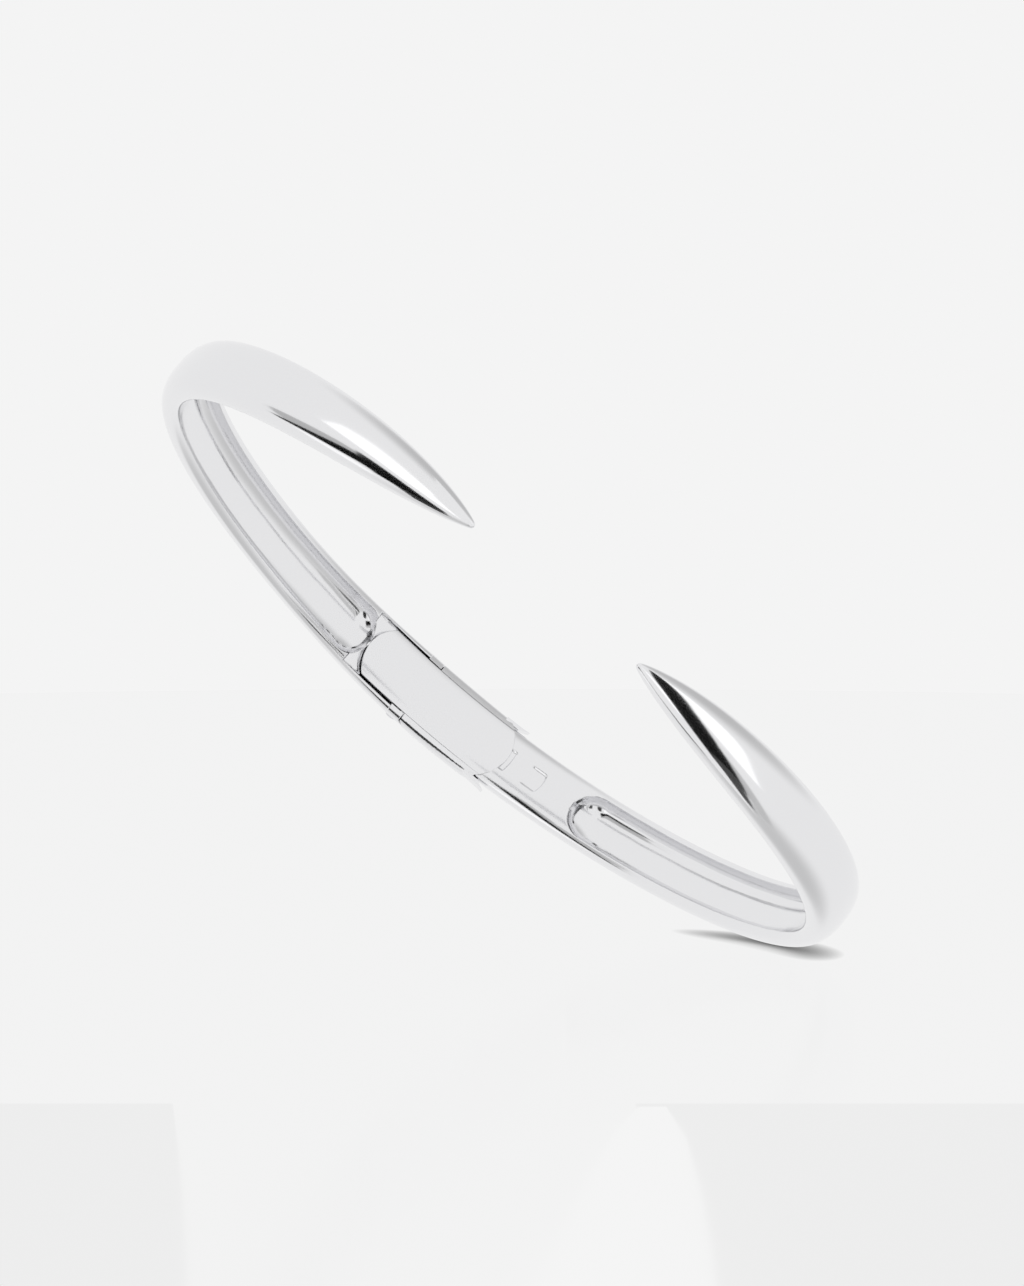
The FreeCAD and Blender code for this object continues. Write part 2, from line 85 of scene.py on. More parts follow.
class CuffBandSizes(bpy.types.PropertyGroup):
    """Sizes of the oval band and of the two scooped arms."""
    side_reach: length("Side reach", "First sine term of the oval's half width", 27.92)
    side_square: length("Side squareness", "Third sine term of the oval's half width", 1.10)
    front_reach: length("Front reach", "First cosine term of the oval's half depth", 21.81)
    front_square: length("Front squareness", "Third cosine term of the oval's half depth", 0.53)
    back_bias: length("Back bias", "Second cosine term, which flattens the front", 1.72)
    wrist_shift: length("Wrist shift", "Y of the middle of the wrist opening", -2.85)
    claw_angle: angle("Claw angle", "Turn from the back to a claw's point", 162.9)
    taper_angle: angle("Taper angle", "Turn at which the claws begin to taper", 100.0)
    side_half_width: length("Side half width", "Half the band's height at the sides", 2.48)
    hinge_half_width: length("Hinge half width", "Half the height at the hinge", 2.95)
    neck_half_width: length("Neck half width", "Half the fixed arm's height there", 2.50)
    side_thickness: length("Side thickness", "Band thickness at the sides", 2.40)
    hinge_thickness: length("Hinge thickness", "Band thickness at the hinge", 2.60)
    tip_half_width: length("Tip half width", "Half the claw's height at its point", 0.16)
    tip_thickness: length("Tip thickness", "Claw thickness at its point", 0.30)
    rim_width: length("Rim width", "Rim left beside the scoop", 0.60)
    floor_wall: length("Floor wall", "Metal left under the scoop", 0.75)
    end_round: angle("Scoop end", "Turn over which a scoop's end is rounded", 4.5)
    fixed_start: angle("Fixed scoop start", "Turn at which the fixed scoop starts", 27.5)
    hinged_start: angle("Hinged scoop start", "Turn at which the hinged scoop starts", 18.0)
    scoop_end: angle("Scoop stop", "Turn at which both scoops stop", 150.0)
    unevenness: length("Scoop unevenness", "Height of the cast waves in the scoops", 0.02)


class CuffHingeSizes(bpy.types.PropertyGroup):
    """Sizes of the cover plate, the joint and the two blank cartouches."""
    back_radius: length("Back radius", "Radius of the plain arc at the back", 25.6)
    back_centre: length("Back centre", "Y of that arc's centre from the wrist's middle", -2.6)
    plate_thickness: length("Plate thickness", "Cover plate thickness", 0.50)
    plate_half_width: length("Plate half width", "Half the cover plate's height", 2.25)
    plate_edge: length("Plate edge", "Rounding of the cover plate's edge", 0.06)
    fixed_end_round: length("Fixed end round", "Radius of the plate's fixed end", 3.20)
    free_end_round: length("Free end round", "Radius of the plate's free end", 2.90)
    slide_gap: length("Slide gap", "Room between plate and hinged arm", 0.12)
    slide_half_width: length("Slide half width", "Half height of the hinged arm's pocket", 2.45)
    slide_end: length("Slide end", "X at which that pocket stops", 8.60)
    ear_inner: length("Ear inner face", "Height of an ear's inner face from the middle", 2.33)
    ear_radius: length("Ear radius", "Radius of the round end of an ear", 1.10)
    parting: length("Parting line", "X of the straight part of an ear's end", 2.50)
    mark_depth: length("Cartouche depth", "Depth of the two blank cartouches", 0.16)
    bar_start: length("Bar start", "X where the bar cartouche starts, on the fixed side", 5.52)
    bar_width: length("Bar width", "Length of the bar cartouche along the band", 0.68)
    bar_half: length("Bar half height", "Half the bar cartouche's height", 0.92)
    square_start: length("Square start", "X where the square cartouche starts", 7.70)
    square_side: length("Square side", "Length of the square cartouche along the band", 1.40)
    square_half: length("Square half height", "Half the square cartouche's height", 0.84)


# ------------------------------------------------------------------ the band as a surface
INNER_SHARE = 0.35        # part of the thickness on the wrist side of the widest line
INNER_POWER = 3.2         # squareness of the comfort-fit inner face
OUTER_POWER = 2.4         # squareness of the outer dome
SCOOP_POWER = 2.8         # squareness of the scoop's floor
CLAW_FULLNESS = 3.8       # how long the claw stays full before it runs to its point
WIDTH_TAPER = 0.85        # how bluntly the claw's width closes
THICKNESS_TAPER = 0.75    # how bluntly the claw's thickness closes
HINGE_SPREAD = math.radians(26.0)


def path(s, turn):
    """Inner face at mid height, by the turn from the back, positive towards +X.

    x = side_reach sin t - side_square sin 3t,
    y = front_reach cos t - front_square cos 3t + back_bias cos 2t + wrist_shift.
    """
    x = s.side_reach * np.sin(turn) - s.side_square * np.sin(3 * turn)
    y = (s.front_reach * np.cos(turn) - s.front_square * np.cos(3 * turn)
         + s.back_bias * np.cos(2 * turn) + s.wrist_shift)
    return x, y


def outward(s, turn):
    """Unit normal of the path: its derivative by t, turned a quarter turn and made length 1."""
    dx = s.side_reach * np.cos(turn) - 3 * s.side_square * np.cos(3 * turn)
    dy = (-s.front_reach * np.sin(turn) + 3 * s.front_square * np.sin(3 * turn)
          - 2 * s.back_bias * np.sin(2 * turn))
    size = np.hypot(dx, dy)
    return -dy / size, dx / size


def on_band(s, turn, offset, height):
    """Point = path + outward normal times offset, at a height from the middle."""
    x, y = path(s, turn)
    nx, ny = outward(s, turn)
    return np.stack(np.broadcast_arrays(x + nx * offset, y + ny * offset,
                                        MID_HEIGHT + height), -1)


TABLE_REACH, TABLE_POINTS = math.pi / 3, 4001


def turn_at(s, x):
    """The turn at which the path reaches x, read off a fine table of the path."""
    table = np.linspace(-TABLE_REACH, TABLE_REACH, TABLE_POINTS)
    return np.interp(x, path(s, table)[0], table)


def taper(s, run, power):
    """1 along the band, then (1 - u^fullness)^power over the claw, u from 0 to 1."""
    u = np.clip((run - s.taper_angle) / (s.claw_angle - s.taper_angle), 0, 1)
    return (1 - u ** CLAW_FULLNESS) ** power


def swell(run):
    """Bell curve exp(-(t / spread)^2) of the extra size at the hinge."""
    return np.exp(-(run / HINGE_SPREAD) ** 2)


def half_width(s, run, at_hinge):
    """Tip size + (side size + swell - tip size) times the claw's taper."""
    full = s.side_half_width + (at_hinge - s.side_half_width) * swell(run)
    return s.tip_half_width + (full - s.tip_half_width) * taper(s, run, WIDTH_TAPER)


def thickness(s, run):
    """Tip size + (side size + swell - tip size) times the claw's taper."""
    full = s.side_thickness + (s.hinge_thickness - s.side_thickness) * swell(run)
    return s.tip_thickness + (full - s.tip_thickness) * taper(s, run, THICKNESS_TAPER)


def power_of(value, power):
    """sign(v) |v|^(2 / power), the step that makes a circle a superellipse."""
    return np.sign(value) * np.abs(value) ** (2 / power)


def inner_rise(height, half, reach):
    """Offset of the comfort-fit face: reach (1 - (1 - |h / half|^p)^(1 / p))."""
    inside = 1 - np.clip(np.abs(height) / half, 0, 1) ** INNER_POWER
    return reach * (1 - inside ** (1 / INNER_POWER))


def soft_step(value, low, high):
    """0 below low, 1 above high, and 3u^2 - 2u^3 between them."""
    u = np.clip((value - low) / (high - low), 0, 1)
    return u * u * (3 - 2 * u)


# ------------------------------------------------------------------ meshes from grids
WELD_STEP = 0.0001 * MM


def weld(points, quads):
    """Joins points that coincide, and turns quads with a joined side into triangles."""
    keys = np.round(points / WELD_STEP).astype(np.int64)
    _, first, where = np.unique(keys, axis=0, return_index=True, return_inverse=True)
    quads = where.reshape(-1)[quads]
    after = np.roll(quads, -1, axis=1)
    joined = quads == after
    crossed = (quads[:, 0] == quads[:, 2]) | (quads[:, 1] == quads[:, 3])
    whole = quads[(joined.sum(1) == 0) & ~crossed]
    folded = (joined.sum(1) == 1) & ~crossed
    triangles = quads[folded][~joined[folded]].reshape(-1, 3)
    return first, whole, triangles


def signed_volume(points, quads, triangles):
    """Sum of the tetrahedra from the origin to each face, so outward faces give a plus."""
    corners = np.concatenate([quads[:, [0, 1, 2]], quads[:, [0, 2, 3]], triangles])
    a, b, c = (points[corners[:, i]] for i in range(3))
    return np.einsum("ij,ij->i", a, np.cross(b, c)).sum() / 6


def make_piece(name, points, quads, body, material, nodes=(), band_place=None):
    """Closed mesh piece with outward faces, riding on a body, in place of CAD nodes.

    band_place is the place of each point along the band, across it, and in the scoop from 0 on the
    rim to 1 on the floor, for the cast streaks and the painted shade that follow the surface.
    """
    kept, quads, triangles = weld(points, quads)
    points = points[kept]
    if signed_volume(points, quads, triangles) < 0:
        quads, triangles = quads[:, ::-1], triangles[:, ::-1]
    mesh = bpy.data.meshes.new(name)
    mesh.from_pydata(points.tolist(), [], quads.tolist() + triangles.tolist())
    mesh.polygons.foreach_set("use_smooth", np.ones(len(mesh.polygons), bool))
    mesh.materials.append(material)
    if band_place is not None:
        place = mesh.attributes.new("band_place", "FLOAT_VECTOR", "POINT")
        place.data.foreach_set("vector", band_place[kept].astype(np.float32).ravel())
    piece = bpy.data.objects.new(name, mesh)
    bpy.context.scene.collection.objects.link(piece)
    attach(piece, body)
    if nodes:
        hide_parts(*nodes)
    return piece


def sheet_quads(rows, columns, first=0, closed=False):
    """Quads of a grid whose points are numbered row by row; closed joins its two sides."""
    index = first + np.arange(rows * columns).reshape(rows, columns)
    beside = np.roll(index, -1, axis=1)
    here, there = (index, beside) if closed else (index[:, :-1], beside[:, :-1])
    return np.stack([here[:-1], there[:-1], there[1:], here[1:]], -1).reshape(-1, 4)


def slab(outer, inner):
    """Points and quads of the closed slab between two grids of the same size."""
    rows, columns = outer.shape[:2]
    count = rows * columns
    index = np.arange(count).reshape(rows, columns)
    edge = np.concatenate([index[0], index[1:, -1], index[-1, -2::-1], index[-2:0:-1, 0]])
    after = np.roll(edge, -1)
    sides = np.stack([after, edge, edge + count, after + count], -1)
    quads = np.concatenate([sheet_quads(rows, columns),
                            sheet_quads(rows, columns, count)[:, ::-1], sides])
    return np.concatenate([outer.reshape(-1, 3), inner.reshape(-1, 3)]), quads


# ------------------------------------------------------------------ the two arms
DOME_POINTS = 65          # points over the outer dome
RIM_SPANS, WALL_SPANS, SHELF_SPANS, SCOOP_SPANS = 12, 5, 12, 34
WALL_RUN = 0.04 * MM      # slope of the pocket's wall
RIM_SHARE = 0.82          # of the half width, where the rim's own points end
FLAT_SPREAD = 1.25 * MM   # half width of the scoop's points where there is no scoop
SOFTENING = 3             # passes that round the edges
END_SPREAD = math.radians(7.0)
TIP_ROUND = math.radians(0.45)
ROW_MARGIN = math.radians(0.6)      # by which the fine rows run past a scoop's end
NECK_ROWS = {FIXED: 110, HINGED: 60}
SCOOP_END_ROWS, SCOOP_ROWS, CLAW_ROWS, POINT_ROWS = 44, 170, 34, 9
END_SOLVES = 5            # rounds of the search for the flat hinge end
FLAT_SHARE = 0.99         # of the plate's end radius, past which the arm's end runs straight
MARK_EDGE = 0.05 * MM     # width of a cartouche's sloping edge
MARK_BOW = 0.12           # of a cartouche's length, by which its far side is bowed
WAVES = ((21, 1.7, 1.0), (47, -2.6, 0.7), (83, 1.1, 0.5))   # turns, drift and size of each
LEAST_SCOOP = 0.3 * MM    # half width below which a scoop never goes
SPREAD_SHARE = 0.6        # of the half width, for the points where there is no scoop
SPREAD_TURN = math.radians(1.5)
TINY = 1e-9
CAST_SHADE_SIDES, CAST_SHADE_ENDS = 6, 3        # how quickly the cast finish and the painted shade of the scoops set in across and along


def arm_rows(s, side, first):
    """Turns of the sections, closer together where the shape changes quickly."""
    start = s.fixed_start if side == FIXED else s.hinged_start
    spans = [(first, start - ROW_MARGIN, NECK_ROWS[side]),
             (start - ROW_MARGIN, start + s.end_round, SCOOP_END_ROWS),
             (start + s.end_round, s.scoop_end - s.end_round, SCOOP_ROWS),
             (s.scoop_end - s.end_round, s.scoop_end + ROW_MARGIN, SCOOP_END_ROWS),
             (s.scoop_end + ROW_MARGIN, s.claw_angle - TIP_ROUND, CLAW_ROWS)]
    runs = [np.linspace(low, high, count, endpoint=False) for low, high, count in spans]
    tip = s.claw_angle - TIP_ROUND * (1 - np.sin(np.linspace(0, math.pi / 2, POINT_ROWS)))
    return np.concatenate(runs + [tip])


def arm_end(s, h, side, height):
    """Distance from the middle plane at which an arm starts, by the height."""
    if side == HINGED:
        return np.full_like(height, PIVOT.x)
    middle = -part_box("hinge_cover_plate")[0].x - h.fixed_end_round
    flat = np.minimum(np.abs(height), FLAT_SHARE * h.fixed_end_round)
    return middle + np.sqrt(h.fixed_end_round ** 2 - flat ** 2)


def cartouches(s, h, run, height):
    """Depth of the two blank recesses: a flat floor inside soft-edged rectangles."""
    across = np.abs(path(s, run)[0])
    depth = 0
    for start, side, half in ((h.bar_start, h.bar_width, h.bar_half),
                              (h.square_start, h.square_side, h.square_half)):
        bowed = start + side - MARK_BOW * side * (height / half) ** 2
        along = soft_step(across, start, start + MARK_EDGE) * (
            1 - soft_step(across, bowed - MARK_EDGE, bowed))
        depth = depth + along * (1 - soft_step(np.abs(height), half - MARK_EDGE, half))
    return depth * h.mark_depth


def scoop_waves(s, run, height):
    """Cast unevenness: a weighted mean of three sines, sin(turns t + drift h / half width)."""
    across = height / s.side_half_width
    total = sum(size * np.sin(turns * run + drift * across) for turns, drift, size in WAVES)
    return s.unevenness * total / sum(size for _, _, size in WAVES)


def arm_section(s, h, side, run):
    """Offsets and heights round the arm's section at each turn.

    The outer dome is half a superellipse. Each inner half has four stretches: the rim on the
    comfort-fit face, the pocket's wall, the shelf beside the scoop, and half the scoop's own
    superellipse, whose depth and width grow with a quarter circle at both ends.
    """
    at_hinge = s.neck_half_width if side == FIXED else s.hinge_half_width
    start = s.fixed_start if side == FIXED else s.hinged_start
    half, depth = half_width(s, run, at_hinge), thickness(s, run)
    reach = INNER_SHARE * depth
    pocket = side == HINGED
    slide_turn = turn_at(s, h.slide_end)
    pocket_floor = h.plate_thickness + h.slide_gap

    def base(turn, height, limit, rise):
        """The inner face without the scoop."""
        face = inner_rise(height, limit, rise)
        if pocket:
            return np.where(turn < slide_turn, np.maximum(face, pocket_floor), face)
        return face + cartouches(s, h, turn, height)

    parts = []
    dome = np.linspace(0, math.pi, DOME_POINTS)
    t = run[:, :DOME_POINTS]
    w, d, c = half[:, :DOME_POINTS], depth[:, :DOME_POINTS], reach[:, :DOME_POINTS]
    parts.append((c + (d - c) * power_of(np.sin(dome), OUTER_POWER),
                  w * power_of(np.cos(dome), OUTER_POWER)))

    spans = RIM_SPANS + WALL_SPANS + SHELF_SPANS + SCOOP_SPANS
    for sign, columns in ((-1, slice(DOME_POINTS, DOME_POINTS + spans)),
                          (1, slice(DOME_POINTS + spans, None))):
        order = 1 if sign < 0 else -1
        t, w, d, c = (v[:, columns][:, ::order] for v in (run, half, depth, reach))
        count = t.shape[1]
        place = np.arange(1, count + 1)
        rim_u = np.clip(place / RIM_SPANS, 0, 1)
        wall_u = np.clip((place - RIM_SPANS) / WALL_SPANS, 0, 1)
        shelf_u = np.clip((place - RIM_SPANS - WALL_SPANS) / SHELF_SPANS, 0, 1)
        scoop_u = np.clip((place - RIM_SPANS - WALL_SPANS - SHELF_SPANS) / SCOOP_SPANS, 0, 1)

        edge = RIM_SHARE * w
        if pocket:
            hold = 1 - soft_step(t, slide_turn, slide_turn + END_SPREAD)
            edge = edge + (h.slide_half_width - edge) * hold
        rim_angle = np.arccos(np.clip(edge / w, 0, 1) ** (INNER_POWER / 2)) * rim_u
        rim_height = w * power_of(np.cos(rim_angle), INNER_POWER)
        rim_offset = c - c * power_of(np.sin(rim_angle), INNER_POWER)

        near = np.minimum(t - start, s.scoop_end - t) / s.end_round
        grow = np.sqrt(1 - (1 - np.clip(near, 0, 1)) ** 2)
        deep = (d - s.floor_wall) * grow
        wide = np.maximum(w - s.rim_width, LEAST_SCOOP) * grow
        lip = base(t, wide, w, c)
        cut = deep > lip
        lip_angle = np.where(cut, np.arcsin(np.clip(lip / np.maximum(deep, TINY), 0, 1)
                                            ** (SCOOP_POWER / 2)), math.pi / 2)
        mouth = wide * power_of(np.cos(lip_angle), SCOOP_POWER)
        away = np.maximum(start - t, t - s.scoop_end) / SPREAD_TURN
        spread = np.minimum(FLAT_SPREAD, SPREAD_SHARE * w) * np.sqrt(np.clip(away, 0, 1))
        mouth = np.where(cut, mouth, spread)

        wall_height = edge - WALL_RUN * wall_u
        wall_offset = (inner_rise(edge, w, c) * (1 - wall_u)
                       + base(t, wall_height, w, c) * wall_u)
        shelf_height = (edge - WALL_RUN) * (1 - shelf_u) + mouth * shelf_u
        shelf_offset = base(t, shelf_height, w, c)
        scoop_angle = lip_angle + (math.pi / 2 - lip_angle) * scoop_u
        scoop_height = np.where(cut, wide * power_of(np.cos(scoop_angle), SCOOP_POWER),
                                spread * (1 - scoop_u))
        scoop_offset = np.where(
            cut, deep * power_of(np.sin(scoop_angle), SCOOP_POWER)
            + scoop_waves(s, t, sign * scoop_height) * grow * np.sin(scoop_u * math.pi / 2),
            base(t, scoop_height, w, c))

        in_rim, in_wall = place <= RIM_SPANS, place <= RIM_SPANS + WALL_SPANS
        in_shelf = place <= RIM_SPANS + WALL_SPANS + SHELF_SPANS
        height = np.where(in_rim, rim_height, np.where(in_wall, wall_height, np.where(
            in_shelf, shelf_height, scoop_height)))
        offset = np.where(in_rim, rim_offset, np.where(in_wall, wall_offset, np.where(
            in_shelf, shelf_offset, scoop_offset)))
        parts.append((offset[:, ::order], sign * height[:, ::order]))

    offset = np.concatenate([p[0] for p in parts], 1)
    height = np.concatenate([p[1] for p in parts], 1)
    closing = np.clip((run - s.claw_angle + TIP_ROUND) / TIP_ROUND, 0, 1)
    left = np.sqrt(1 - closing ** 2)
    return depth / 2 + (offset - depth / 2) * left, height * left


def scoop_share(s, side, run):
    """0 outside the scoop, and in it 1, falling off as a sine at the rims and in a line at
    the ends.
    """
    start = s.fixed_start if side == FIXED else s.hinged_start
    near = np.minimum(run - start, s.scoop_end - run) / s.end_round
    skipped = DOME_POINTS + RIM_SPANS + WALL_SPANS + SHELF_SPANS
    across = np.zeros(run.shape[1])
    across[skipped:-(skipped - DOME_POINTS)] = 1
    place = np.cumsum(across) / (across.sum() + 1)
    return (across * np.clip(CAST_SHADE_SIDES * np.sin(math.pi * place), 0, 1)
            * np.clip(CAST_SHADE_ENDS * near, 0, 1))


def arm_grid(s, h, side):
    """Rows of section points from the hinge to the claw's point, softened at the edges."""
    first = turn_at(s, arm_end(s, h, side, np.zeros(1)))[0]
    rows = arm_rows(s, side, first)
    columns = DOME_POINTS + 2 * (RIM_SPANS + WALL_SPANS + SHELF_SPANS + SCOOP_SPANS) - 1
    run = np.repeat(rows[:, None], columns, 1)
    offset, height = arm_section(s, h, side, run)
    target = arm_end(s, h, side, height[0])
    end = run[0].copy()
    for _ in range(END_SOLVES):
        here = path(s, end)[0] + outward(s, end)[0] * offset[0]
        end = end + (target - here) / s.front_reach
    fade = np.clip(1 - (rows - first) / END_SPREAD, 0, 1)[:, None] ** 2
    run = run + (end - run[0]) * fade
    offset, height = arm_section(s, h, side, run)
    grid = on_band(s, side * run, offset, height)
    for _ in range(SOFTENING):
        grid = (np.roll(grid, 1, 1) + 2 * grid + np.roll(grid, -1, 1)) / 4
        grid[1:-1] = (grid[:-2] + 2 * grid[1:-1] + grid[2:]) / 4
    grid[-1] = grid[-1].mean(0)
    place = np.stack([run * s.side_reach, height, scoop_share(s, side, run)], -1)
    return grid, place


def build_arm(s, h, side, name, body, material, node):
    """Closed mesh of one arm, with a fan over its hinge end."""
    grid, place = arm_grid(s, h, side)
    rows, columns = grid.shape[:2]
    points, place = (np.concatenate([g.reshape(-1, 3), g[0].mean(0)[None]])
                     for g in (grid, place))
    ring = np.arange(columns)
    middle = np.full(columns, rows * columns)
    fan = np.stack([middle, middle, np.roll(ring, -1), ring], -1)
    quads = np.concatenate([sheet_quads(rows, columns, closed=True), fan])
    return make_piece(name, points, quads, body, material, (node,), place)


# ------------------------------------------------------------------ cover plate and ears
PLATE_ROWS, PLATE_COLUMNS = 120, 60
EAR_ROWS, EAR_COLUMNS = 28, 30
EAR_ROOT = 0.5 * MM       # by which an ear runs on into its arm
EAR_CROWDING = 1.5        # how much closer an ear's rows are at its round end


def edge_fall(distance, radius):
    """Quarter-round edge: radius - sqrt(radius^2 - (radius - distance)^2)."""
    left = np.clip(radius - distance, 0, radius)
    return radius - np.sqrt(radius ** 2 - left ** 2)


def build_plate(s, h, material):
    """Cover plate: the comfort-fit inner face outside, a plain arc under it, rounded ends."""
    low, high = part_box("hinge_cover_plate")
    ease = 0.5 * np.sin(np.linspace(-math.pi / 2, math.pi / 2, PLATE_COLUMNS)) + 0.5
    height = h.plate_half_width * (2 * ease[None, :] - 1)
    along = 0.5 - 0.5 * np.cos(np.linspace(0, math.pi, PLATE_ROWS))[:, None]
    near = low.x + h.fixed_end_round - np.sqrt(h.fixed_end_round ** 2 - height ** 2)
    far = high.x - h.free_end_round + np.sqrt(h.free_end_round ** 2 - height ** 2)
    x = near + (far - near) * along
    turn = turn_at(s, x)
    half = half_width(s, np.abs(turn), s.hinge_half_width)
    rise = inner_rise(height, half, INNER_SHARE * thickness(s, np.abs(turn)))
    margin = np.minimum(np.minimum(x - near, far - x), h.plate_half_width - np.abs(height))
    top = on_band(s, turn, rise + edge_fall(margin, h.plate_edge), height)
    centre = h.back_centre + s.wrist_shift
    under = centre + np.sqrt((h.back_radius + h.plate_thickness) ** 2 - x ** 2)
    bottom = np.stack(np.broadcast_arrays(top[..., 0], under, top[..., 2]), -1)
    points, quads = slab(top, bottom)
    return make_piece("cover_plate", points, quads, "fixed_half", material, ("hinge_cover_plate",))


def build_ear(s, h, up, material):
    """One ear of the hinged arm: a cap of the band's section that ends round the pin."""
    half = half_width(s, turn_at(s, PIVOT.x), s.hinge_half_width)
    depth = thickness(s, turn_at(s, PIVOT.x))
    reach = INNER_SHARE * depth
    share_in = (h.ear_inner / half) ** INNER_POWER
    share_out = (h.ear_inner / half) ** OUTER_POWER
    lowest = reach - reach * (1 - share_in) ** (1 / INNER_POWER)
    highest = reach + (depth - reach) * (1 - share_out) ** (1 / OUTER_POWER)
    sweep = 0.5 - 0.5 * np.cos(np.linspace(0, math.pi, EAR_COLUMNS))[None, :]
    offset = lowest + (highest - lowest) * sweep
    inner = np.clip(1 - offset / reach, 0, 1) ** INNER_POWER
    outer = np.clip((offset - reach) / (depth - reach), 0, 1) ** OUTER_POWER
    height = np.where(offset < reach, half * (1 - inner) ** (1 / INNER_POWER),
                      half * (1 - outer) ** (1 / OUTER_POWER))
    y = path(s, turn_at(s, PIVOT.x))[1] + offset
    rise = np.clip(np.abs(y - PIVOT.y) / h.ear_radius, 0, 1)
    round_end = PIVOT.x - h.ear_radius * np.sqrt(1 - rise ** 2)
    end = np.where(y < PIVOT.y, np.minimum(round_end, h.parting), round_end)
    along = np.linspace(0, 1, EAR_ROWS)[:, None] ** EAR_CROWDING
    x = end + (PIVOT.x + EAR_ROOT - end) * along
    turn = turn_at(s, x / (1 + offset / h.back_radius))
    fall = edge_fall(x - end, h.plate_edge)
    top = on_band(s, turn, offset, up * np.maximum(height - fall, h.ear_inner))
    bottom = on_band(s, turn, offset, up * h.ear_inner + 0 * x)
    points, quads = slab(top, bottom)
    name = "upper_ear" if up > 0 else "lower_ear"
    return make_piece(name, points, quads, "hinged_half", material)


# ------------------------------------------------------------------ metals
class CuffFinishes(bpy.types.PropertyGroup):
    """Colours and surface marks of the metals."""
    silver: colour("Silver", "Polished sterling silver", (0.93, 0.93, 0.935))
    hinge_metal: colour("Hinge metal", "Drawn silver of the knuckles and cam", (0.84, 0.84, 0.85))
    pin_metal: colour("Pin metal", "Filed wire of pin and rivet", (0.74, 0.74, 0.76))
    spring_steel: colour("Spring steel", "Rolled blade of the leaf spring", (0.56, 0.57, 0.60))
    polish: share("Polish", "Roughness of the polished faces", 0.07)
    drawn: share("Drawn finish", "Roughness of the drawn and filed parts", 0.24)


CLOUD_SCALE, WAVE_SCALE = 160.0, 330.0       # of the drifting tone and the soft waves, per metre
TINT = 0.05               # by which the tone drifts
WAVE_DEPTH = 0.02 * MM
STREAKS = (70.0, 1300.0, 0.0)                # along, across and into the scoop, per metre
STREAK_RELIEF = 0.03 * MM
STREAK_AND_SHADE_DARK, STREAK_LIGHT = 0.50, 0.97       # of the silver's tone, in the cast streaks and the painted shade of the scoops
CAST_ROUGH = 0.16


def add_node(tree, kind, inputs=(), **settings):
    """A node with its settings made and its inputs set or linked."""
    node = tree.nodes.new(kind)
    for key, value in settings.items():
        setattr(node, key, value)
    for key, value in dict(inputs).items():
        if isinstance(value, bpy.types.NodeSocket):
            tree.links.new(value, node.inputs[key])
        else:
            node.inputs[key].default_value = value
    return node


def metal(name, tone, rough, stretch, grain, relief):
    """Metal with a drifting tone, fine directional marks in gloss and relief, and soft waves."""
    material = bpy.data.materials.new(name)
    material.use_nodes = True
    tree = material.node_tree
    shader = tree.nodes["Principled BSDF"]
    shader.inputs["Metallic"].default_value = 1.0
    place = add_node(tree, "ShaderNodeTexCoord").outputs["Object"]
    lined = add_node(tree, "ShaderNodeMapping", {"Vector": place, "Scale": stretch})
    marks = add_node(tree, "ShaderNodeTexNoise", {
        "Vector": lined.outputs["Vector"], "Scale": grain, "Detail": 6.0, "Roughness": 0.65})
    clouds = add_node(tree, "ShaderNodeTexNoise", {
        "Vector": place, "Scale": CLOUD_SCALE, "Detail": 3.0, "Roughness": 0.5})
    waves = add_node(tree, "ShaderNodeTexNoise", {
        "Vector": place, "Scale": WAVE_SCALE, "Detail": 1.0, "Roughness": 0.4})
    ramp = add_node(tree, "ShaderNodeValToRGB", {"Fac": clouds.outputs["Fac"]})
    low, high = ramp.color_ramp.elements
    low.position, high.position = 0.35, 0.65
    low.color = tuple(c * (1 - TINT) for c in tone) + (1.0,)
    high.color = tuple(tone) + (1.0,)
    gloss = add_node(tree, "ShaderNodeMapRange", {
        "Value": marks.outputs["Fac"], "From Min": 0.3, "From Max": 0.75,
        "To Min": rough * 0.75, "To Max": rough * 1.5})
    soft = add_node(tree, "ShaderNodeBump", {
        "Height": waves.outputs["Fac"], "Strength": 0.10, "Distance": WAVE_DEPTH})
    fine = add_node(tree, "ShaderNodeBump", {
        "Height": marks.outputs["Fac"], "Strength": 0.15, "Distance": relief,
        "Normal": soft.outputs["Normal"]})
    tree.links.new(ramp.outputs["Color"], shader.inputs["Base Color"])
    tree.links.new(gloss.outputs["Result"], shader.inputs["Roughness"])
    tree.links.new(fine.outputs["Normal"], shader.inputs["Normal"])
    return material


